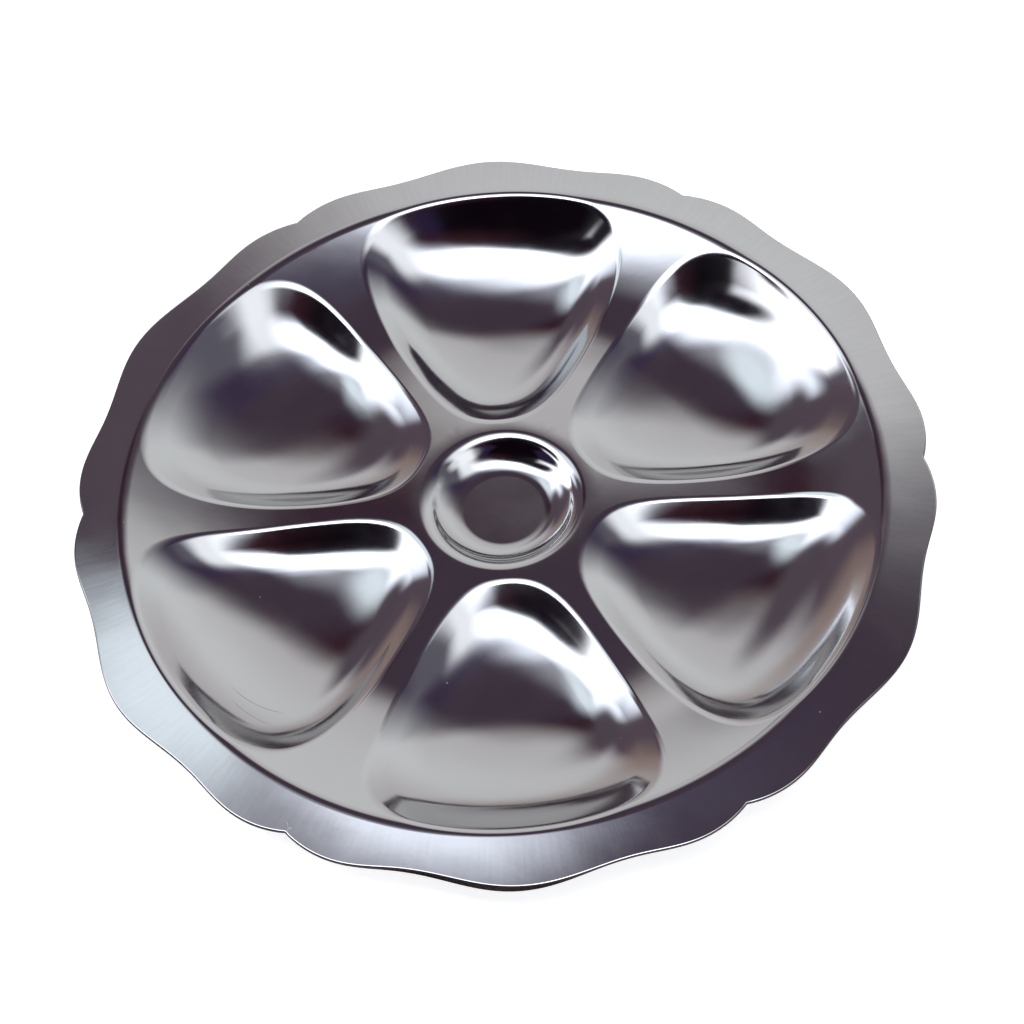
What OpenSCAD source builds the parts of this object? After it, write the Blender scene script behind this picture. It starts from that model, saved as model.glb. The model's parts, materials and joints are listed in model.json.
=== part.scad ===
// Oyster plate pressed from one sheet of polished stainless steel.
// Six fan-shaped wells stand round a small round dish, inside a round crest and a scalloped rim.
// Millimetres, +Z up. The plate stands at z = 0 on small flat spots under its six wells.

/* [Sheet] */
// Thickness of the sheet
sheet_t = 0.8; // [0.5:0.1:1.2]

/* [Rim] */
// Radius of the round crest, the highest line of the plate
crest_r = 110; // [104:1:118]
// Width of the crest's rounding towards the wells
crest_in_w = 2.2; // [1.4:0.1:3]
// Width of the crest's rounding towards the rim
crest_out_w = 1.4; // [0.8:0.1:2.4]
// Slope of the wall that climbs to the crest
crest_slope = 0.4; // [0.3:0.01:0.6]
// Fall of the rim just outside the crest
rim_slope = 0.16; // [0.05:0.01:0.3]
// Fall of the rim at its cut edge
rim_edge_slope = 0.11; // [0.02:0.01:0.25]
// Width of the rim from the crest to the notches of the edge
rim_w = 11.8; // [8:0.2:18]
// How far the small lobe beside each notch stands out past the notches
small_lobe = 2.4; // [0.4:0.1:5]
// How far the valley between a small lobe and a large one stands out past the notches
lobe_valley = 0.2; // [0:0.1:2]
// How far the large lobe outside each well stands out past the notches
large_lobe = 3.7; // [0.4:0.1:7]
// Angle from a notch to the peak of its small lobe, degrees
small_lobe_a = 6.5; // [4:0.5:9]
// Angle from a notch to the valley, degrees
lobe_valley_a = 16.5; // [12:0.5:20]

/* [Ridges between the wells] */
// Radius of the ridges' lowest point
ridge_low_r = 64; // [58:1:70]
// Fall of the ridges from the dish outward
ridge_in_slope = 0.07; // [0:0.01:0.14]
// Radius at which the ridges begin their steep climb
ridge_out_r = 90; // [84:1:96]
// Slope of the ridges at that radius
ridge_out_slope = 0.29; // [0.2:0.01:0.4]

/* [Wells] */
// Depth of the wells below the crest
well_depth = 17.4; // [14:0.2:24]
// How much of the sheet the flat spots under the wells take away, where the plate stands
flat_cut = 0.1; // [0.05:0.05:0.3]
// Angle between a well's axis and each of its sides, degrees
well_side_a = 27.6; // [25:0.1:28.5]
// Half width that the sides would have at the plate's centre
well_side_w = 0.8; // [0:0.1:2]
// Gap from the crest outward to the line that bounds a well at its wide end
well_end_gap = 1.2; // [0:0.1:1.6]
// Steepness of the wide end, as a multiple of the sides'
well_end_steep = 0.79; // [0.7:0.01:1.1]
// Radius of the line that bounds a well at its narrow end
well_tip_r = 17.9; // [15:0.1:19]
// Steepness of the narrow end, as a multiple of the sides'
well_tip_steep = 1.2; // [1:0.05:1.4]
// Softness of the corners between a well's sides and ends
well_round = 11; // [8:0.5:14]
// Width of the lip's rounding
lip_w = 1.7; // [1:0.1:3]
// Slope of the wall below the lip
wall_top_slope = 0.59; // [0.5:0.01:0.85]
// Width of the wall
wall_w = 3; // [2:0.1:4.5]
// Slope of the wall at its foot
wall_foot_slope = 0.68; // [0.5:0.01:0.85]
// Width of the rounding from the wall to the floor
floor_round_w = 7.1; // [5:0.1:9]
// Slope of the floor beside that rounding
floor_slope = 0.25; // [0.16:0.01:0.28]
// Slope of the floor near its middle
floor_mid_slope = 0.005; // [0.005:0.005:0.1]

/* [Round dish in the middle] */
// Radius of the dish's flat floor
dish_floor_r = 11.6; // [8:0.2:14]
// Radius of the dish's lip
dish_lip_r = 24.6; // [24.2:0.1:26]
// Slope at the foot of the dish's wall
dish_foot_slope = 0.7; // [0.4:0.02:0.9]
// Slope of the dish's wall where it is steepest
dish_wall_slope = 1.05; // [0.8:0.05:1.4]
// Slope of the shoulder under the dish's lip
dish_shoulder_slope = 0.68; // [0.4:0.02:0.8]

/* [Hidden] */
// Number of wells, and the angle of half a sector
wells = 6;
half_a = 180 / wells;
// Parts of a half sector's outer arc, of its straight side and of its inner arc
arc_n = 9;
side_n = 6;
tip_n = 4;
// Corners of half a sector and of a whole one
half_n = arc_n + side_n + tip_n;
ring_n = 2 * half_n;
// Points round the crest and round the dish's lip
crest_n = 2 * wells * arc_n;
dish_n = 2 * wells * tip_n;
// Radii of the dish's wall between its floor and its lip
dish_run = dish_lip_r - dish_floor_r;
dish_foot_r = dish_floor_r + 0.55 * dish_run;
dish_wall_r = dish_floor_r + 0.66 * dish_run;
dish_shoulder_r = dish_floor_r + 0.73 * dish_run;
// Distances inside a well's lip at which its curve changes
wall_x = lip_w;
foot_x = wall_x + wall_w;
floor_x = foot_x + floor_round_w;
mid_x = floor_x + 12;
// Slope along a radius through a ridge, as [radius, slope]
ridge_curve = [
    [0, 0],
    [dish_floor_r, 0],
    [dish_foot_r, dish_foot_slope],
    [dish_wall_r, dish_wall_slope],
    [dish_shoulder_r, dish_shoulder_slope],
    [dish_lip_r, 0],
    [dish_lip_r + 4, -ridge_in_slope],
    [ridge_low_r - 16, -ridge_in_slope],
    [ridge_low_r, 0],
    [ridge_out_r, ridge_out_slope],
    [crest_r - crest_in_w, crest_slope],
    [crest_r, 0],
    [crest_r + crest_out_w, -rim_slope],
    [crest_r + rim_w + large_lobe, -rim_edge_slope],
    [crest_r + rim_w + large_lobe + 9, -rim_edge_slope]
];
// Slope down into a well, as [distance inside the lip, slope]
well_curve = [
    [0, 0],
    [wall_x, wall_top_slope],
    [foot_x, wall_foot_slope],
    [floor_x, floor_slope],
    [mid_x, floor_mid_slope],
    [mid_x + 20, 0]
];
// Distances inside the lip of the rings that the sheet is built on, from the floor out
well_rings = [
    floor_x + 2.6,
    floor_x,
    foot_x + floor_round_w * 0.66,
    foot_x + floor_round_w * 0.33,
    foot_x,
    wall_x,
    0
];

// Height gained from the start of a slope curve up to x
function rise(curve, x, i = 0, sum = 0) =
    i > len(curve) - 2 || x <= curve[i][0] ? sum :
    let (run = curve[i + 1][0] - curve[i][0])
    let (dx = min(x, curve[i + 1][0]) - curve[i][0])
    let (bend = (curve[i + 1][1] - curve[i][1]) / run)
    rise(curve, x, i + 1, sum + dx * (curve[i][1] + bend * dx / 2));

// Height of the crest above the start of the ridge curve, before the curves are fitted to the depth
crest_rise = rise(ridge_curve, crest_r);
// Height of the crest above the surface on which the plate stands
crest_z = well_depth + sheet_t - flat_cut;

// Distance outside a well's lip at (u, v), with u along the well's axis; negative inside the well
function lip_gap(u, v) =
    let (half = well_side_w + tan(well_side_a) * u)
    let (a = (v - half) * cos(well_side_a))
    let (b = (-v - half) * cos(well_side_a))
    let (c = well_end_steep * (norm([u, v]) - crest_r - well_end_gap))
    let (d = well_tip_steep * (well_tip_r - norm([u, v])))
    let (top = max(a, b, c, d))
    let (parts = [for (e = [a, b, c, d]) exp((e - top) / well_round)])
    top + well_round * ln(parts * [1, 1, 1, 1]);

// Depths that the curves alone would give along a well's axis, as [u, depth]
axis_depths = [
    for (t = [0.45:0.01:0.75])
    let (u = t * crest_r)
    [u, crest_rise - rise(ridge_curve, u) + rise(well_curve, -lip_gap(u, 0))]
];
curve_depth = max([for (d = axis_depths) d[1]]);
// Middle of a well's floor, where its axis is deepest
well_mid = [for (d = axis_depths) if (d[1] == curve_depth) d[0]][0];
// Factor that fits the curves to the depth
fit = well_depth / curve_depth;

// Height of the sheet's upper face at (u, v), with u along the well's axis
function top_z(u, v) =
    let (r = norm([u, v]))
    let (ridge = rise(ridge_curve, r) - crest_rise)
    crest_z + (r > crest_r ? 1 : fit) * ridge - fit * rise(well_curve, -lip_gap(u, v));

// Height of the lower face at (u, v), one thickness away along the normal, or 0 on the flat spots
function low_z(u, v) =
    let (e = 0.02)
    let (gu = (top_z(u + e, v) - top_z(u - e, v)) / (2 * e))
    let (gv = (top_z(u, v + e) - top_z(u, v - e)) / (2 * e))
    max(0, top_z(u, v) - sheet_t * sqrt(1 + gu * gu + gv * gv));

// Radius of the cut edge at angle a from the nearest notch
function edge_r(a) =
    let (notch_r = crest_r + rim_w)
    a < small_lobe_a ? notch_r + small_lobe * (1 - pow(1 - a / small_lobe_a, 2)) :
    a < lobe_valley_a ?
        let (t = (a - small_lobe_a) / (lobe_valley_a - small_lobe_a))
        notch_r + small_lobe + (lobe_valley - small_lobe) * (1 - cos(180 * t)) / 2 :
    let (t = (a - lobe_valley_a) / (half_a - lobe_valley_a))
    notch_r + lobe_valley + (large_lobe - lobe_valley) * (1 - cos(180 * t)) / 2;

// Point of a half sector's border, corner j of half_n, from the crest round to the dish
function border(j) =
    j <= arc_n ? crest_r * [cos(half_a * j / arc_n), sin(half_a * j / arc_n)] :
    j <= arc_n + side_n ?
        let (t = (j - arc_n) / side_n)
        (crest_r + (dish_lip_r - crest_r) * t) * [cos(half_a), sin(half_a)] :
    let (a = half_a * (half_n - j) / tip_n)
    dish_lip_r * [cos(a), sin(a)];

// Share of the way from the well's middle to border point p at which test k changes sign.
// Test k is a distance inside the lip, or the flat spot's edge where k is negative.
function crossing(p, k, lo = 0, hi = 1, steps = 16) =
    let (t = (lo + hi) / 2)
    let (q = [well_mid, 0] + t * (p - [well_mid, 0]))
    steps == 0 ? t :
    (k < 0 ? top_z(q[0], q[1]) < sheet_t : -lip_gap(q[0], q[1]) > k)
        ? crossing(p, k, t, hi, steps - 1)
        : crossing(p, k, lo, t, steps - 1);

// Shares of the way to border point p at which the rings lie, each past the one before it
function ring_shares(p) =
    let (w = norm(p - [well_mid, 0]))
    let (flat = crossing(p, -1))
    let (found = [for (k = well_rings) min(crossing(p, k), 1 - (0.7 + 0.1 * k) / w)])
    let (open = [for (i = [0:len(found) - 1]) max(found[i], flat + (i + 1) * 0.4 / w)])
    let (lip = open[len(open) - 1])
    concat([flat], open, [1 - min(crest_in_w / w, (1 - lip) / 2)]);

// Half a sector's rings, from the flat spot out to the shelf beside the border
half_rings = [
    for (j = [0:half_n])
    let (p = border(j))
    [for (t = ring_shares(p)) [well_mid, 0] + t * (p - [well_mid, 0])]
];
rings = len(half_rings[0]);
// Radii of the rings round the dish's wall, and of those across the rim as shares of its width
dish_radii = [
    dish_floor_r,
    (dish_floor_r + dish_foot_r) / 2,
    dish_foot_r,
    dish_wall_r,
    (dish_wall_r + dish_shoulder_r) / 2,
    dish_shoulder_r,
    (dish_shoulder_r + dish_lip_r) / 2
];

// A point of the sector's plane with both of the sheet's heights there
function both(q) = [q[0], q[1], top_z(q[0], q[1]), low_z(q[0], q[1])];

// Point p turned by angle a about the plate's axis, mirrored first where m is -1
function turned(p, a, m = 1) =
    [p[0] * cos(a) - m * p[1] * sin(a), p[0] * sin(a) + m * p[1] * cos(a), p[2], p[3]];

// Axis angle of sector s
function axis_a(s) = half_a + 2 * half_a * s;

// Heights are worked out once for half a sector and then turned and mirrored
half_both = [for (col = half_rings) [for (q = col) both(q)]];
mid_both = both([well_mid, 0]);
crest_both = [for (j = [0:arc_n]) both(border(j))];
side_both = [for (j = [arc_n + 1:arc_n + side_n - 1]) both(border(j))];
tip_both = [for (j = [0:tip_n]) both(border(half_n - j))];
bend_both = [
    for (j = [0:arc_n])
    let (a = half_a * j / arc_n)
    both((crest_r + crest_out_w) * [cos(a), sin(a)])
];
edge_both = [
    for (j = [0:arc_n])
    let (a = half_a * j / arc_n)
    both(edge_r(half_a - a) * [cos(a), sin(a)])
];

// Full circle of points from one half arc, which starts on a well's axis and ends at a notch
function circle_of(half, n) =
    [for (s = [0:wells - 1], i = [-n:n - 1]) turned(half[abs(i)], axis_a(s), i < 0 ? -1 : 1)];

points = concat(
    [for (s = [0:wells - 1], k = [0:rings - 1], j = [0:ring_n - 1])
        turned(half_both[min(j, ring_n - j)][k], axis_a(s), j > half_n ? -1 : 1)],
    [for (s = [0:wells - 1]) turned(mid_both, axis_a(s))],
    circle_of(crest_both, arc_n),
    circle_of(bend_both, arc_n),
    circle_of(edge_both, arc_n),
    [for (s = [0:wells - 1], p = side_both) turned(p, axis_a(s))],
    circle_of(tip_both, tip_n),
    [for (r = dish_radii) let (p = both([r, 0])) for (i = [0:dish_n - 1]) turned(p, 360 * i / dish_n)],
    [both([0, 0])]
);
// First numbers of each group of points
mid_0 = wells * rings * ring_n;
crest_0 = mid_0 + wells;
bend_0 = crest_0 + crest_n;
edge_0 = bend_0 + crest_n;
side_0 = edge_0 + crest_n;
tip_0 = side_0 + wells * (side_n - 1);
dish_0 = tip_0 + dish_n;
hub_0 = dish_0 + len(dish_radii) * dish_n;

// Number of border point j of sector s, which neighbours share
function border_id(s, j) =
    j > half_n && j < ring_n - arc_n - side_n ?
        tip_0 + (2 * tip_n * s + tip_n + half_n - j + dish_n) % dish_n :
    j > half_n && j < ring_n - arc_n ? border_id((s + wells - 1) % wells, ring_n - j) :
    j >= ring_n - arc_n ? crest_0 + (2 * arc_n * s + arc_n + j - ring_n + crest_n) % crest_n :
    j <= arc_n ? crest_0 + (2 * arc_n * s + arc_n + j) % crest_n :
    j < arc_n + side_n ? side_0 + s * (side_n - 1) + j - arc_n - 1 :
    tip_0 + (2 * tip_n * s + tip_n + half_n - j) % dish_n;

// Number of corner j on ring k of sector s; the ring after the last is the border
function ring_id(s, k, j) =
    k == rings ? border_id(s, j % ring_n) : (s * rings + k) * ring_n + j % ring_n;

// Two triangles between inner points a, b and outer points d, c, split one way or the other
function patch(a, b, c, d, way) = way ? [[a, b, c], [a, c, d]] : [[a, b, d], [b, c, d]];

// Triangles of the band between two closed circles with n points to half a sector
function band(inner, outer, n) =
    let (all = 2 * wells * n)
    [for (i = [0:all - 1])
        let (e = (i + 1) % all)
        each patch(inner + i, inner + e, outer + e, outer + i, i % (2 * n) >= n)];

// Triangles of the upper face, wound clockwise as seen from above
sector_faces = [
    for (s = [0:wells - 1], j = [0:ring_n - 1])
    each concat(
        [[mid_0 + s, ring_id(s, 0, j + 1), ring_id(s, 0, j)]],
        [for (k = [0:rings - 1])
            each patch(ring_id(s, k, j), ring_id(s, k, j + 1), ring_id(s, k + 1, j + 1),
                ring_id(s, k + 1, j), j < half_n)]
    )
];
disc_faces = concat(
    [for (i = [0:dish_n - 1]) [hub_0, dish_0 + (i + 1) % dish_n, dish_0 + i]],
    [for (k = [0:len(dish_radii) - 2]) each band(dish_0 + k * dish_n, dish_0 + (k + 1) * dish_n, tip_n)],
    band(dish_0 + (len(dish_radii) - 1) * dish_n, tip_0, tip_n),
    band(crest_0, bend_0, arc_n),
    band(bend_0, edge_0, arc_n)
);
upper_faces = concat(sector_faces, disc_faces);

// The whole plate: the upper face, the lower face and the cut edge between them
module plate() {
    n = len(points);
    color([0.75, 0.76, 0.78])
        polyhedron(
            points = concat([for (p = points) [p[0], p[1], p[2]]], [for (p = points) [p[0], p[1], p[3]]]),
            faces = concat(
                upper_faces,
                [for (f = upper_faces) [f[2] + n, f[1] + n, f[0] + n]],
                [for (i = [0:crest_n - 1])
                    let (a = edge_0 + i)
                    let (b = edge_0 + (i + 1) % crest_n)
                    each [[a, b, b + n], [a, b + n, a + n]]]
            ),
            convexity = 8
        );
}

plate();
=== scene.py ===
"""Oyster plate of polished stainless steel on a white table, lit by a soft studio."""
import json
import math

import bpy
import numpy as np
from mathutils import Matrix, Vector

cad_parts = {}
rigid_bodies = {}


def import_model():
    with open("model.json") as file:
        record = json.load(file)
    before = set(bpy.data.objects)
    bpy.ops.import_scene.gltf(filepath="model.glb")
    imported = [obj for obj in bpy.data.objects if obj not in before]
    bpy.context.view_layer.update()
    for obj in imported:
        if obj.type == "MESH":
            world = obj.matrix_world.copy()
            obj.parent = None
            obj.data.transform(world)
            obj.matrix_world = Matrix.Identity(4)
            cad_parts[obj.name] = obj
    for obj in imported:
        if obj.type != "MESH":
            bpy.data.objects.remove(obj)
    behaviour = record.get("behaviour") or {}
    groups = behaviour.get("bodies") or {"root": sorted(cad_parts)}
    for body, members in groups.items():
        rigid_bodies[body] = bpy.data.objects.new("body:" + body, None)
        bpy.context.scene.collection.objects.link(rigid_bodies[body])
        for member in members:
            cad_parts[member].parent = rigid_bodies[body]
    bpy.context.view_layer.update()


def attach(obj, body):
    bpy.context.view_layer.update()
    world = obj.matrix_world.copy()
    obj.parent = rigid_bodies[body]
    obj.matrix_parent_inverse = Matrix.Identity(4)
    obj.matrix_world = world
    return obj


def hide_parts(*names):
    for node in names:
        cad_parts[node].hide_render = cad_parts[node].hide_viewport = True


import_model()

MM = 0.001

# Sizes of the plate in millimetres, the same as the part's own
SHEET_T = 0.8
CREST_R, CREST_IN, CREST_OUT, CREST_SLOPE = 110.0, 2.2, 1.4, 0.4
RIM_SLOPE, RIM_EDGE_SLOPE, RIM_W = 0.16, 0.11, 11.8
SMALL_LOBE, LOBE_VALLEY, LARGE_LOBE = 2.4, 0.2, 3.7
SMALL_LOBE_A, LOBE_VALLEY_A = 6.5, 16.5
RIDGE_LOW_R, RIDGE_IN_SLOPE, RIDGE_OUT_R, RIDGE_OUT_SLOPE = 64.0, 0.07, 90.0, 0.29
WELL_DEPTH, FLAT_CUT = 17.4, 0.1
WELL_SIDE_A, WELL_SIDE_W = math.radians(27.6), 0.8
WELL_END_GAP, WELL_END_STEEP = 1.2, 0.79
WELL_TIP_R, WELL_TIP_STEEP, WELL_ROUND = 17.9, 1.2, 11.0
LIP_W, WALL_TOP, WALL_W, WALL_FOOT = 1.7, 0.59, 3.0, 0.68
FLOOR_ROUND_W, FLOOR_SLOPE, FLOOR_MID_SLOPE = 7.1, 0.25, 0.005
DISH_FLOOR_R, DISH_LIP_R = 11.6, 24.6
# Foot, steepest part and shoulder of the dish's wall, as shares of its width and the slopes there
DISH_WALL = [(0.55, 0.7), (0.66, 1.05), (0.73, 0.68)]
WELLS = 6
# How far the upper face rolls over to the cut edge, and how much it drops there
ROLL_REACH, ROLL_DROP = 0.5, 0.25
# Rings across the roll, and the ring from which the edge is painted dark brown as shade along the rim
ROLL_N, ROLL_SHADE_FROM = 8, 3
# Rounding at the foot of the cut, and its rings
EDGE_ROUND, EDGE_ROUND_N = 0.1, 3
# How far the edge stays inside the part's own outline at a notch, and less out to the valley beside it
EDGE_TRIM = 0.27
# The cut slants outward: a little all round, and more under the front lobe
CUT_SLANT, FRONT_SLANT = 0.05, 0.9
FRONT_A, FRONT_LEFT, FRONT_RIGHT = -92.0, 22.0, 13.0
HALF_A = math.pi / WELLS
CREST_Z = WELL_DEPTH + SHEET_T - FLAT_CUT

FOOT_X = LIP_W + WALL_W
FLOOR_X = FOOT_X + FLOOR_ROUND_W
dish_run = DISH_LIP_R - DISH_FLOOR_R
rim_end = CREST_R + RIM_W + LARGE_LOBE
RIDGE_CURVE = np.array([
    (0, 0), (DISH_FLOOR_R, 0), *[(DISH_FLOOR_R + share * dish_run, slope) for share, slope in DISH_WALL],
    (DISH_LIP_R, 0), (DISH_LIP_R + 4, -RIDGE_IN_SLOPE), (RIDGE_LOW_R - 16, -RIDGE_IN_SLOPE),
    (RIDGE_LOW_R, 0), (RIDGE_OUT_R, RIDGE_OUT_SLOPE), (CREST_R - CREST_IN, CREST_SLOPE), (CREST_R, 0),
    (CREST_R + CREST_OUT, -RIM_SLOPE), (rim_end, -RIM_EDGE_SLOPE), (rim_end + 9, -RIM_EDGE_SLOPE)])
WELL_CURVE = np.array([
    (0, 0), (LIP_W, WALL_TOP), (FOOT_X, WALL_FOOT), (FLOOR_X, FLOOR_SLOPE),
    (FLOOR_X + 12, FLOOR_MID_SLOPE), (FLOOR_X + 32, 0)])


def rise(curve, x):
    """Height gained along a curve of slopes, up to each x."""
    at, slope = curve[:, 0], curve[:, 1]
    x = np.clip(x, at[0], at[-1])
    i = np.clip(np.searchsorted(at, x, side="right") - 1, 0, len(at) - 2)
    bend = np.diff(slope) / np.diff(at)
    start = np.concatenate([[0], np.cumsum((slope[1:] + slope[:-1]) / 2 * np.diff(at))])
    t = x - at[i]
    return start[i] + slope[i] * t + bend[i] * t * t / 2


def lip_gap(u, v):
    """Distance outside a well's lip, with u along the well's axis."""
    r = np.hypot(u, v)
    half = WELL_SIDE_W + math.tan(WELL_SIDE_A) * u
    sides = np.stack([(v - half) * math.cos(WELL_SIDE_A), (-v - half) * math.cos(WELL_SIDE_A),
                      WELL_END_STEEP * (r - CREST_R - WELL_END_GAP), WELL_TIP_STEEP * (WELL_TIP_R - r)])
    top = sides.max(0)
    return top + WELL_ROUND * np.log(np.exp((sides - top) / WELL_ROUND).sum(0))


# The deepest point on a well's axis, and the factor that brings the depth there to the named one
CREST_RISE = rise(RIDGE_CURVE, np.array([CREST_R]))[0]
axis_u = np.arange(0.45, 0.7501, 0.01) * CREST_R
axis_depth = CREST_RISE - rise(RIDGE_CURVE, axis_u) + rise(WELL_CURVE, -lip_gap(axis_u, 0 * axis_u))
WELL_MID = axis_u[axis_depth.argmax()]
FIT = WELL_DEPTH / axis_depth.max()


def top_z(u, v):
    """Height of the upper face."""
    r = np.hypot(u, v)
    ridge = rise(RIDGE_CURVE, r) - CREST_RISE
    return CREST_Z + np.where(r > CREST_R, 1, FIT) * ridge - FIT * rise(WELL_CURVE, -lip_gap(u, v))


def slopes(u, v, e=0.01):
    """Slopes of the upper face along u and v, from its heights a step e to each side."""
    gu = (top_z(u + e, v) - top_z(u - e, v)) / (2 * e)
    gv = (top_z(u, v + e) - top_z(u, v - e)) / (2 * e)
    return gu, gv


def edge_r(a):
    """Radius of the cut edge at angle a, in degrees, from the nearest notch."""
    notch = CREST_R + RIM_W
    rise_to = notch + SMALL_LOBE * (1 - (1 - a / SMALL_LOBE_A) ** 2)
    t = (a - SMALL_LOBE_A) / (LOBE_VALLEY_A - SMALL_LOBE_A)
    fall_to = notch + SMALL_LOBE + (LOBE_VALLEY - SMALL_LOBE) * (1 - np.cos(np.pi * t)) / 2
    w = (a - LOBE_VALLEY_A) / (math.degrees(HALF_A) - LOBE_VALLEY_A)
    swell = notch + LOBE_VALLEY + (LARGE_LOBE - LOBE_VALLEY) * (1 - np.cos(np.pi * w)) / 2
    edge = np.where(a < SMALL_LOBE_A, rise_to, np.where(a < LOBE_VALLEY_A, fall_to, swell))
    return edge - EDGE_TRIM * np.clip((LOBE_VALLEY_A - a) / LOBE_VALLEY_A, 0, 1)


def slant(x, y):
    """How far the foot of the cut edge stands out past its top, at plate point (x, y)."""
    off = np.degrees(np.arctan2(y, x)) - FRONT_A
    t = np.clip(1 - np.where(off < 0, -off / FRONT_LEFT, off / FRONT_RIGHT), 0, 1)
    return CUT_SLANT + FRONT_SLANT * t * t * (3 - 2 * t)


# Columns of half a sector's mesh: along the crest, near its corner, along the ridge and round the dish
ARC_N, NEAR_N, SIDE_N, TIP_N = 40, 4, 26, 8
# Distance inside the lip at which the rings round a well start to follow it
FOLLOW_FROM = 20
# Rings of a well, going out: across the floor, on to the floor's rounding, over that, up the wall and over
# the lip
FLOOR_N, INNER_N, ROUND_N, WALL_N, LIP_N = 5, 6, 9, 3, 6
# Rings from the lip to the crest's inner shoulder, up to the crest, down to its outer shoulder and across
# the rim
BANK_N, CREST_IN_N, CREST_OUT_N, RIM_N = 4, 5, 4, 6
# Rings down the dish's wall, and the radii of those on its floor
DISH_N, DISH_FLOOR_RADII = 22, [8.0, 4.0, 0.0]
# Points that lie in the same cell of a grid this fine, in cells to the millimetre, are one point
CELLS = 2000


def border():
    """Points of half a sector's border, from the crest round to the dish."""
    a = HALF_A * np.arange(ARC_N + 1) / ARC_N
    arc = CREST_R * np.stack([np.cos(a), np.sin(a)], 1)
    near = CREST_R - CREST_IN * np.arange(1, NEAR_N + 1) / NEAR_N
    # Along the ridge the columns lie closest near the crest
    t = np.arange(1, SIDE_N + 1) / SIDE_N
    r = np.concatenate([near, near[-1] + (DISH_LIP_R - near[-1]) * (0.3 * t ** 2 + 0.7 * t)])
    side = r[:, None] * np.array([math.cos(HALF_A), math.sin(HALF_A)])
    a = HALF_A * np.arange(TIP_N - 1, -1, -1) / TIP_N
    tip = DISH_LIP_R * np.stack([np.cos(a), np.sin(a)], 1)
    return np.concatenate([arc, side, tip])


def crossing(way, inside, halvings=24):
    """Share of each way out from the well's middle at which inside(u, v) stops being true."""
    lo, hi = np.zeros(len(way)), np.ones(len(way))
    for _ in range(halvings):
        t = (lo + hi) / 2
        ok = inside(WELL_MID + t * way[:, 0], t * way[:, 1])
        lo, hi = np.where(ok, t, lo), np.where(ok, hi, t)
    return (lo + hi) / 2


def half_sector():
    """Grid of points [ray, ring] over half a sector, from the well's middle out to the border."""
    way = border() - np.array([WELL_MID, 0])
    length = np.hypot(way[:, 0], way[:, 1])
    # Rings as shares of the way: over the flat spot, then across the floor to at least 1 mm off the flat
    flat = crossing(way, lambda u, v: top_z(u, v) < SHEET_T)
    floor = np.maximum(crossing(way, lambda u, v: -lip_gap(u, v) > FOLLOW_FROM), flat + 1 / length)
    shares = [flat / 2, flat] + [flat + (floor - flat) * k / FLOOR_N for k in range(1, FLOOR_N)]
    # Rings at set distances inside the lip, each clear of the border and of the ring before it
    levels = np.concatenate([
        np.linspace(FOLLOW_FROM, FLOOR_X, INNER_N + 1), np.linspace(FLOOR_X, FOOT_X, ROUND_N + 1)[1:],
        np.linspace(FOOT_X, LIP_W, WALL_N + 1)[1:], np.linspace(LIP_W, 0, LIP_N + 1)[1:]])
    for level in levels:
        t = crossing(way, lambda u, v: -lip_gap(u, v) > level)
        t = np.minimum(t, 1 - (0.8 + 0.1 * level) / length)
        shares.append(np.maximum(t, shares[-1] + 0.05 / length))
    # Rings from the lip to the crest's inner shoulder, and from there to the border
    lip = shares[-1]
    bend = crossing(way, lambda u, v: np.hypot(u, v) < CREST_R - CREST_IN)
    bend = np.clip(bend, lip + 0.1 / length, 1 - (1 - lip) * 0.2)
    for k in range(1, BANK_N + 1):
        shares.append(lip + (bend - lip) * k / BANK_N)
    for k in range(1, CREST_IN_N + 1):
        shares.append(bend + (1 - bend) * k / CREST_IN_N)
    shares = np.stack(shares, 1)
    shares[:, -1] = 1
    return np.array([WELL_MID, 0]) + shares[:, :, None] * way[:, None, :]


class Sheet:
    """Collects the points of the plate's upper face and the facets between them; neighbours share points."""

    def __init__(self):
        self.xy, self.local, self.ids, self.faces = [], [], {}, []

    def add(self, uv, sector):
        """Number of the point at (u, v) in a sector; a point that is there already keeps its number."""
        a = HALF_A + 2 * HALF_A * sector
        x = uv[0] * math.cos(a) - uv[1] * math.sin(a)
        y = uv[0] * math.sin(a) + uv[1] * math.cos(a)
        key = (round(x * CELLS), round(y * CELLS))
        if key not in self.ids:
            self.ids[key] = len(self.xy)
            self.xy.append((x, y))
            self.local.append((uv[0], uv[1], a))
        return self.ids[key]

    def grid(self, rows, mirrored, sector):
        """Joins a grid of points [column][row]; a mirrored grid is wound the other way."""
        ids = [[self.add((p[0], -p[1] if mirrored else p[1]), sector) for p in row] for row in rows]
        for a, b in zip(ids, ids[1:]):
            for i in range(len(a) - 1):
                quad = [a[i], a[i + 1], b[i + 1], b[i]]
                quad = [q for n, q in enumerate(quad) if q != quad[n - 1]]
                if len(quad) > 2:
                    self.faces.append(quad[::-1] if mirrored else quad)


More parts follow.
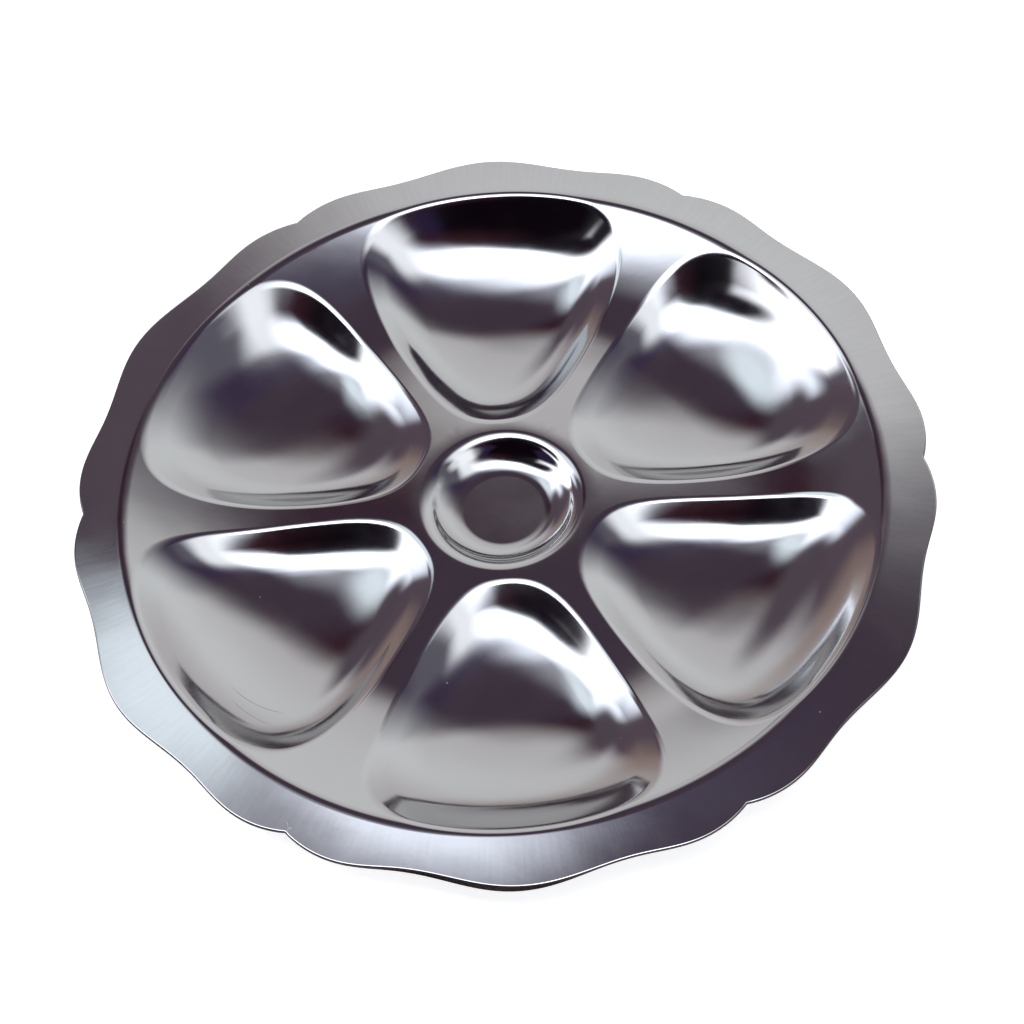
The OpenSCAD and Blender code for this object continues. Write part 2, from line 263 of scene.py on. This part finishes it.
def build_face():
    """Points of the plate's upper face, in plate coordinates and in well coordinates, and its faces."""
    sheet = Sheet()
    half = half_sector()
    for sector in range(WELLS):
        middle = np.repeat([[[WELL_MID, 0.0]]], len(half), 0)
        rows = np.concatenate([middle, half], 1)
        for mirrored in (False, True):
            sheet.grid(rows, mirrored, sector)
    # The dish, from its lip down to the middle of its floor
    radii = np.concatenate([np.linspace(DISH_LIP_R, DISH_FLOOR_R, DISH_N + 1), DISH_FLOOR_RADII])
    tips = HALF_A * np.arange(TIP_N + 1) / TIP_N
    # The rim, from the crest out to the cut edge
    arcs = HALF_A * np.arange(ARC_N + 1) / ARC_N
    edge = edge_r(np.degrees(HALF_A - arcs))
    inner = CREST_R + CREST_OUT
    for sector in range(WELLS):
        for mirrored in (False, True):
            rows = [[(r * math.cos(a), r * math.sin(a)) for r in radii[::-1]] for a in tips]
            sheet.grid(rows, mirrored, sector)
            rows = []
            for a, outer in zip(arcs, edge):
                turn = HALF_A + 2 * HALF_A * sector + (-a if mirrored else a)
                end = outer - ROLL_REACH - slant(math.cos(turn), math.sin(turn))
                rs = [CREST_R + CREST_OUT * k / CREST_OUT_N for k in range(CREST_OUT_N + 1)]
                rs += [inner + (end - inner) * k / RIM_N for k in range(1, RIM_N + 1)]
                rows.append([(r * math.cos(a), r * math.sin(a)) for r in rs])
            sheet.grid(rows, mirrored, sector)
    return np.array(sheet.xy), np.array(sheet.local), sheet.faces


def open_border(faces):
    """Numbers of the points along the open border of the faces, in order."""
    # Both ends of each facet's sides; a side on the border has no neighbour that runs the other way
    ends = dict.fromkeys((p, q) for f in faces for p, q in zip(f, f[1:] + f[:1]))
    following = {p: q for p, q in ends if (q, p) not in ends}
    loop = [next(iter(following))]
    while following[loop[-1]] != loop[0]:
        loop.append(following[loop[-1]])
    return np.array(loop)


def edge_rings(lean, tops, lows):
    """Rings from the upper face over the rolled edge, down the cut and round to the lower face, each as its
    reach outward, its height and the tilt of the face there."""
    fall = RIM_EDGE_SLOPE
    rings = []
    for k in range(1, ROLL_N + 1):
        t = math.pi / 2 * k / ROLL_N
        reach = ROLL_REACH * math.sin(t)
        drop = ROLL_DROP * (1 - math.cos(t))
        tilt = math.atan2(fall * math.cos(t) + ROLL_DROP / ROLL_REACH * math.sin(t), math.cos(t))
        rings.append((reach + 0 * lean, tops - fall * reach - drop, tilt + 0 * lean))
    # The cut: a ring just below its top, which keeps the corner there sharp, and one at its foot
    cut_top = rings[-1][1]
    foot = lows - fall * (ROLL_REACH + lean) + EDGE_ROUND
    cut_tilt = np.arctan2(cut_top - foot, lean)
    rings.append((ROLL_REACH + 0.05 * lean, cut_top + 0.05 * (foot - cut_top), cut_tilt))
    rings.append((ROLL_REACH + lean, foot, cut_tilt))
    for k in range(1, EDGE_ROUND_N + 1):
        t = math.pi / 2 * k / EDGE_ROUND_N
        reach = ROLL_REACH + lean - EDGE_ROUND * (1 - math.cos(t))
        rings.append((reach, foot - EDGE_ROUND * math.sin(t), math.pi / 2 + t + 0 * lean))
    return rings


def build_plate():
    """The plate's mesh: upper face, lower face one thickness away, and the rings of the edge between them."""
    xy, local, faces = build_face()
    u, v, a = local.T
    z = top_z(u, v)
    gu, gv = slopes(u, v)
    gx = gu * np.cos(a) - gv * np.sin(a)
    gy = gu * np.sin(a) + gv * np.cos(a)
    stretch = np.sqrt(1 + gx ** 2 + gy ** 2)
    low = np.maximum(z - SHEET_T * stretch, 0)
    up = np.stack([-gx, -gy, np.ones_like(gx)], 1) / stretch[:, None]
    n = len(xy)
    points = [np.column_stack([xy, z]), np.column_stack([xy, low])]
    down = np.where(low[:, None] > 0, -up, np.array([0, 0, -1.0]))
    normals = [up, down]
    all_faces = list(faces) + [[q + n for q in f[::-1]] for f in faces]
    # The edge joins the two faces, on rings that stand out sideways from the upper face's border
    loop = open_border(faces)
    m = len(loop)
    out = xy[loop]
    tangent = np.roll(out, -1, 0) - np.roll(out, 1, 0)
    side = np.stack([tangent[:, 1], -tangent[:, 0]], 1)
    side /= np.linalg.norm(side, axis=1)[:, None]
    ring_ids = [loop]
    base = 2 * n
    for reach, height, tilt in edge_rings(slant(out[:, 0], out[:, 1]), z[loop], low[loop]):
        points.append(np.column_stack([out + side * reach[:, None], np.maximum(height, 0)]))
        normals.append(np.column_stack([side * np.sin(tilt)[:, None], np.cos(tilt)]))
        ring_ids.append(base + np.arange(m))
        base += m
    ring_ids.append(loop + n)
    # Faces from the roll's later rings onward take the dark brown painted shade of the cut
    first_shaded_face = len(all_faces) + ROLL_SHADE_FROM * m
    for a_ids, b_ids in zip(ring_ids, ring_ids[1:]):
        for i in range(m):
            j = (i + 1) % m
            all_faces.append([int(b_ids[i]), int(b_ids[j]), int(a_ids[j]), int(a_ids[i])])
    mesh = bpy.data.meshes.new("oyster_plate")
    mesh.from_pydata((np.concatenate(points) * MM).tolist(), [], all_faces)
    mesh.polygons.foreach_set("use_smooth", [True] * len(mesh.polygons))
    mesh.polygons.foreach_set("material_index", [int(i >= first_shaded_face) for i in range(len(mesh.polygons))])
    mesh.normals_split_custom_set_from_vertices(np.concatenate(normals).tolist())
    plate = bpy.data.objects.new("oyster_plate", mesh)
    bpy.context.scene.collection.objects.link(plate)
    return plate


plate = build_plate()

# Specks and hair scratches in millimetres: the middle of an arc, its radius, its two ends in degrees and half
# its width. A speck has no radius.
MARKS = [
    ((-75.3, 79.9), 0, (0, 0), 0.35),
    ((-108.9, -4.9), 0, (0, 0), 0.4),
    ((-71.6, -23.3), 0, (0, 0), 0.25),
    ((-18.0, -56.1), 0, (0, 0), 0.3),
    ((49.3, -40.0), 0, (0, 0), 0.3),
    ((29.3, -78.3), 0, (0, 0), 0.2),
    ((82.6, -80.3), 0, (0, 0), 0.3),
    ((-60.0, -42.0), 22.3, (-145, -96), 0.11),
    ((-55.0, -43.0), 28.5, (-143, -113), 0.09),
    ((-62.8, -104.0), 3.0, (-35, 35), 0.1),
    ((-59.2, -104.4), 0, (0, 0), 0.3),
]


def link(tree, a, b):
    """Joins output a to input b."""
    tree.links.new(a, b)


def fresh_tree(owner):
    """The owner's node tree, emptied."""
    owner.use_nodes = True
    owner.node_tree.nodes.clear()
    return owner.node_tree


def maths(tree):
    """A function that adds a math node to the tree and gives its output."""
    def add(op, a, b=None):
        n = tree.nodes.new("ShaderNodeMath")
        n.operation = op
        for socket, x in zip(n.inputs, (a, b)):
            if isinstance(x, (int, float)):
                socket.default_value = x
            elif x is not None:
                link(tree, x, socket)
        return n.outputs[0]
    return add


def map_range(tree, value, start, end, low=0.0, high=1.0, smooth=False):
    """Maps a value that runs from start to end onto low to high."""
    n = tree.nodes.new("ShaderNodeMapRange")
    if smooth:
        n.interpolation_type = "SMOOTHSTEP"
    for name, x in (("From Min", start), ("From Max", end), ("To Min", low), ("To Max", high)):
        n.inputs[name].default_value = x
    link(tree, value, n.inputs["Value"])
    return n.outputs[0]


def colour_mix(tree, factor, a, b):
    """Mixes two colours, each of which is a socket or three numbers."""
    n = tree.nodes.new("ShaderNodeMix")
    n.data_type = "RGBA"
    link(tree, factor, n.inputs["Factor"])
    for socket, x in ((n.inputs[6], a), (n.inputs[7], b)):
        if isinstance(x, tuple):
            socket.default_value = (*x, 1)
        else:
            link(tree, x, socket)
    return n.outputs[2]


def shader_mix(tree, factor, a, b):
    """Mixes two shaders."""
    n = tree.nodes.new("ShaderNodeMixShader")
    for socket, x in zip(n.inputs, (factor, a, b)):
        link(tree, x, socket)
    return n.outputs[0]


def vector_math(tree, op, a, b):
    """A vector node's output, where b is one number to scale by or three numbers."""
    n = tree.nodes.new("ShaderNodeVectorMath")
    n.operation = op
    link(tree, a, n.inputs[0])
    if isinstance(b, (int, float)):
        n.inputs["Scale"].default_value = b
    else:
        n.inputs[1].default_value = b
    return n.outputs[0]


def noise(tree, at, scale, detail=2.0, rough=0.5):
    """A noise from about 0 to 1, with the given number of waves to one unit of length."""
    n = tree.nodes.new("ShaderNodeTexNoise")
    n.inputs["Scale"].default_value = scale
    n.inputs["Detail"].default_value = detail
    n.inputs["Roughness"].default_value = rough
    link(tree, at, n.inputs["Vector"])
    return n.outputs[0]


def bump(tree, height, strength, distance):
    """Tilts the normal by a height, where a height of 1 stands the given distance out."""
    n = tree.nodes.new("ShaderNodeBump")
    n.inputs["Strength"].default_value = strength
    n.inputs["Distance"].default_value = distance
    link(tree, height, n.inputs["Height"])
    return n.outputs[0]


def metal(name):
    """A new metallic material, with its node tree and its shader."""
    mat = bpy.data.materials.new(name)
    t = fresh_tree(mat)
    out = t.nodes.new("ShaderNodeOutputMaterial")
    bsdf = t.nodes.new("ShaderNodeBsdfPrincipled")
    bsdf.inputs["Metallic"].default_value = 1.0
    link(t, bsdf.outputs[0], out.inputs[0])
    return mat, t, bsdf


def steel():
    """Polished stainless steel with a faint haze, fine brushing, hair scratches and a few specks."""
    mat, t, bsdf = metal("polished_steel")
    math_node = maths(t)

    def from_above(at):
        """The two coordinates of a point seen from above, and its distance from the origin."""
        part = t.nodes.new("ShaderNodeSeparateXYZ")
        link(t, at, part.inputs[0])
        x, y = part.outputs[0], part.outputs[1]
        square = math_node("ADD", math_node("MULTIPLY", x, x), math_node("MULTIPLY", y, y))
        return x, y, math_node("SQRT", square)

    coord = t.nodes.new("ShaderNodeTexCoord")
    mm = vector_math(t, "SCALE", coord.outputs["Object"], 1 / MM)
    x, y, radius = from_above(mm)

    # Buffing lines, fine across and long along the radius; they show most on the rim
    lines_at = t.nodes.new("ShaderNodeCombineXYZ")
    link(t, math_node("MULTIPLY", math_node("ARCTAN2", y, x), CREST_R), lines_at.inputs[0])
    link(t, math_node("MULTIPLY", radius, 0.06), lines_at.inputs[1])
    on_rim = map_range(t, radius, CREST_R, CREST_R + 3, low=0.15)
    lines = math_node("MULTIPLY", noise(t, lines_at.outputs[0], 0.9, 3.0, 0.6), on_rim)

    # Specks and hair scratches: each fades to its sides, and a scratch to its ends
    marks = None
    for (cx, cy), r, (a0, a1), half in MARKS:
        x, y, far = from_above(vector_math(t, "SUBTRACT", mm, (cx, cy, 0)))
        off = math_node("ABSOLUTE", math_node("ADD", far, -float(r)))
        mark = map_range(t, off, half * 1.4, half * 0.4, smooth=True)
        if r > 0:
            middle, reach = math.radians((a0 + a1) / 2), math.radians((a1 - a0) / 2)
            off = math_node("ABSOLUTE", math_node("ADD", math_node("ARCTAN2", y, x), -middle))
            mark = math_node("MULTIPLY", mark, map_range(t, off, reach, reach * 0.6))
        marks = mark if marks is None else math_node("MAXIMUM", marks, mark)

    # Colour: a faint cloudiness and the buffing lines; the marks darken it
    cloud = math_node("MULTIPLY", noise(t, mm, 0.05, 4.0, 0.6), 0.05)
    shade = map_range(t, math_node("ADD", cloud, math_node("MULTIPLY", lines, 0.1)), 0.0, 0.1)
    tone = colour_mix(t, shade, (0.475, 0.471, 0.48), (0.53, 0.526, 0.535))
    worn = colour_mix(t, math_node("MULTIPLY", marks, 0.6), tone, (0.2, 0.19, 0.2))
    link(t, worn, bsdf.inputs["Base Color"])

    # Roughness: nearly a mirror, with a slightly uneven haze
    haze = map_range(t, noise(t, mm, 0.12, 3.0, 0.6), 0.3, 0.7, 0.07, 0.105)
    link(t, math_node("ADD", haze, math_node("MULTIPLY", marks, 0.3)), bsdf.inputs["Roughness"])

    # Relief: the sheet's slight waves from pressing, a finer ripple and the buffing lines
    waves = math_node("MULTIPLY", noise(t, mm, 0.045, 1.0), 0.14)
    ripple = math_node("MULTIPLY", noise(t, mm, 0.22), 0.006)
    height = math_node("ADD", math_node("ADD", waves, ripple), math_node("MULTIPLY", lines, 0.004))
    link(t, bump(t, height, 1.0, MM), bsdf.inputs["Normal"])
    return mat


def cut_painted_shade():
    """The cut's steel, coloured dark brown as painted shade for the shadow along the rim's edge, with fine
    streaks down it.
    """
    mat, t, bsdf = metal("cut_painted_shade")
    coord = t.nodes.new("ShaderNodeTexCoord")
    # To the millimetre, 1.5 streaks along the edge and 0.3 down it
    at = vector_math(t, "MULTIPLY", coord.outputs["Object"], (1.5 / MM, 1.5 / MM, 0.3 / MM))
    streaks = noise(t, at, 1.0, 3.0)
    # Painted shade: the dark brown stands for the shadow along the rim's edge; the streaks vary it
    tone = colour_mix(t, streaks, (0.035, 0.026, 0.024), (0.1, 0.075, 0.06))
    link(t, tone, bsdf.inputs["Base Color"])
    link(t, map_range(t, streaks, 0.0, 1.0, 0.35, 0.55), bsdf.inputs["Roughness"])
    link(t, bump(t, streaks, 0.5, 0.02 * MM), bsdf.inputs["Normal"])
    return mat


plate.data.materials.append(steel())
# The second material paints the cut dark brown as shade along the rim's edge
plate.data.materials.append(cut_painted_shade())
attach(plate, "root")
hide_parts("plate")


# Half the table's width in metres, how far it lies below the plate in millimetres, and the glow that lifts it
# to white
TABLE_HALF, TABLE_DROP, TABLE_GLOW = 6.0, 0.2, 0.62


def white_stage():
    """A white table that keeps a soft shadow; the camera, mirrors and glass see its glow too."""
    mesh = bpy.data.meshes.new("table")
    s, z = TABLE_HALF, -TABLE_DROP * MM
    mesh.from_pydata([(-s, -s, z), (s, -s, z), (s, s, z), (-s, s, z)], [], [(0, 1, 2, 3)])
    table = bpy.data.objects.new("table", mesh)
    bpy.context.scene.collection.objects.link(table)
    mat = bpy.data.materials.new("white_table")
    t = fresh_tree(mat)
    out = t.nodes.new("ShaderNodeOutputMaterial")
    paths = t.nodes.new("ShaderNodeLightPath")
    math_node = maths(t)
    seen = math_node("ADD", paths.outputs["Is Camera Ray"], paths.outputs["Is Glossy Ray"])
    seen = math_node("ADD", seen, paths.outputs["Is Transmission Ray"])
    paper = t.nodes.new("ShaderNodeBsdfDiffuse")
    paper.inputs["Color"].default_value = (0.8, 0.8, 0.8, 1)
    glow = t.nodes.new("ShaderNodeEmission")
    glow.inputs["Color"].default_value = (1, 1, 1, 1)
    glow.inputs["Strength"].default_value = TABLE_GLOW
    lifted = t.nodes.new("ShaderNodeAddShader")
    link(t, paper.outputs[0], lifted.inputs[0])
    link(t, glow.outputs[0], lifted.inputs[1])
    link(t, shader_mix(t, seen, paper.outputs[0], lifted.outputs[0]), out.inputs[0])
    mesh.materials.append(mat)


white_stage()

# Camera, from the photograph: focal length in pixels, distance in millimetres and elevation
CAM_FOCAL_PX, CAM_DISTANCE, CAM_ELEVATION = 2213.75, 630.83, math.radians(56.515)
# Its roll, the point it aims at in millimetres, and the plate's own turn on the table
CAM_ROLL, CAM_TARGET, PLATE_TURN = math.radians(-6.61), (2.313, -10.559), math.radians(-3.334)
# Width of the sensor in millimetres, and of the picture in pixels
SENSOR, IMAGE_PX = 36, 1024


def camera():
    """The camera at the photograph's view, aimed in the plane of the crest."""
    back = Vector((0, -math.cos(CAM_ELEVATION), math.sin(CAM_ELEVATION)))
    right = Vector((1, 0, 0))
    up = back.cross(right)
    r = math.cos(CAM_ROLL) * right + math.sin(CAM_ROLL) * up
    u = -math.sin(CAM_ROLL) * right + math.cos(CAM_ROLL) * up
    place = Vector((*CAM_TARGET, 0)) + CAM_DISTANCE * back
    turn = Matrix.Rotation(-PLATE_TURN, 3, "Z")
    place, r, u, back = turn @ place, turn @ r, turn @ u, turn @ back
    cam = bpy.data.cameras.new("camera")
    cam.sensor_width = SENSOR
    cam.lens = CAM_FOCAL_PX / IMAGE_PX * SENSOR
    cam.clip_start = 0.01
    obj = bpy.data.objects.new("camera", cam)
    m = Matrix((r, u, back)).transposed().to_4x4()
    m.translation = (place + Vector((0, 0, CREST_Z))) * MM
    obj.matrix_world = m
    bpy.context.scene.collection.objects.link(obj)
    bpy.context.scene.camera = obj


camera()

# Studio seen by the steel: soft-edged ovals laid over pale paper, in order, on a map of the sky where the
# zenith is 0, the horizon is 1 and +y is the far side. Each is a colour, a centre, two radii, a turn in
# degrees, a softness and a share.
PAPER = (0.8, 0.78, 0.79)
SKY = [
    # The dark room on the left, and a tan wall at its far end
    ((0.06, 0.022, 0.034), (-1.3, -0.79), (1.75, 0.98), 33, 0.045, 1.0),
    ((0.154, 0.112, 0.144), (-0.64, 0.39), (0.39, 0.25), 31, 0.06, 1.0),
    ((0.41, 0.3, 0.27), (-0.3, 0.83), (0.67, 0.13), 32, 0.1, 0.95),
    # Dusk blue round the lamp
    ((0.028, 0.022, 0.073), (-0.15, -0.67), (1.7, 0.95), -3, 0.055, 0.8),
    # The long lamp, in three stretches
    ((4.7, 4.85, 5.1), (-0.91, 0.225), (0.66, 0.145), -29, 0.05, 0.86),
    ((8.4, 9.1, 10.0), (-0.16, 0.04), (0.36, 0.12), -30, 0.05, 0.63),
    ((2.4, 2.5, 2.6), (0.37, -0.28), (0.43, 0.11), -56, 0.045, 0.66),
    # The black screen in front of the plate
    ((0.005, 0.002, 0.004), (-0.165, -0.33), (0.28, 0.23), -12, 0.025, 0.97),
    ((0.01, 0.004, 0.011), (-0.32, -0.08), (0.21, 0.058), -19, 0.025, 1.0),
    # The dark gap between the lamp and the paper
    ((0.07, 0.047, 0.1), (1.05, 0.43), (1.23, 0.155), 20, 0.04, 0.98),
    ((0.09, 0.063, 0.09), (-0.02, 0.197), (0.37, 0.113), 12, 0.045, 0.92),
    ((0.138, 0.106, 0.135), (-0.29, 0.37), (0.23, 0.09), 49, 0.04, 1.0),
    # A red thing on the screen, a pale floor on the right and the brightest part of the paper
    ((0.06, 0.015, 0.025), (0.09, -0.225), (0.135, 0.058), -2, 0.05, 0.8),
    ((1.83, 1.9, 1.95), (0.53, -0.365), (0.26, 0.21), -12, 0.08, 0.72),
    ((1.01, 1.05, 1.055), (0.505, 0.395), (0.76, 0.17), -31, 0.18, 1.0),
    # A pale patch at the lamp's edge, seen on the left of the rim
    ((1.4, 1.57, 1.67), (-0.235, 0.17), (0.065, 0.09), -11, 0.04, 0.97),
]


def studio():
    """The world: the steel sees the ovals of the sky, and the camera sees white."""
    world = bpy.data.worlds.new("studio")
    bpy.context.scene.world = world
    t = fresh_tree(world)
    out = t.nodes.new("ShaderNodeOutputWorld")
    coord = t.nodes.new("ShaderNodeTexCoord")
    math_node = maths(t)
    sep = t.nodes.new("ShaderNodeSeparateXYZ")
    link(t, coord.outputs["Generated"], sep.inputs[0])

    def weighted(x, p, y, q):
        """x times p plus y times q."""
        return math_node("ADD", math_node("MULTIPLY", x, p), math_node("MULTIPLY", y, q))

    # The map of the sky, which stops widening a little below the horizon
    low = math_node("MAXIMUM", math_node("ADD", sep.outputs[2], 1.0), 0.5)
    qx = math_node("DIVIDE", sep.outputs[0], low)
    qy = math_node("DIVIDE", sep.outputs[1], low)
    colour = PAPER
    for col, (cx, cy), (rx, ry), turn, soft, share in SKY:
        c, s = math.cos(math.radians(turn)), math.sin(math.radians(turn))
        x = math_node("ADD", qx, -cx)
        y = math_node("ADD", qy, -cy)
        a = math_node("DIVIDE", weighted(x, c, y, s), rx)
        b = math_node("DIVIDE", weighted(x, -s, y, c), ry)
        r = math_node("SQRT", weighted(a, a, b, b))
        blur = soft / min(rx, ry)
        cover = map_range(t, r, 1 + blur, 1 - blur, high=share, smooth=True)
        colour = colour_mix(t, cover, colour, col)
    bg = t.nodes.new("ShaderNodeBackground")
    link(t, colour, bg.inputs["Color"])
    white = t.nodes.new("ShaderNodeBackground")
    white.inputs["Color"].default_value = (1, 1, 1, 1)
    paths = t.nodes.new("ShaderNodeLightPath")
    mix = shader_mix(t, paths.outputs["Is Camera Ray"], bg.outputs[0], white.outputs[0])
    link(t, mix, out.inputs[0])


studio()
bpy.context.scene.view_settings.view_transform = "Standard"
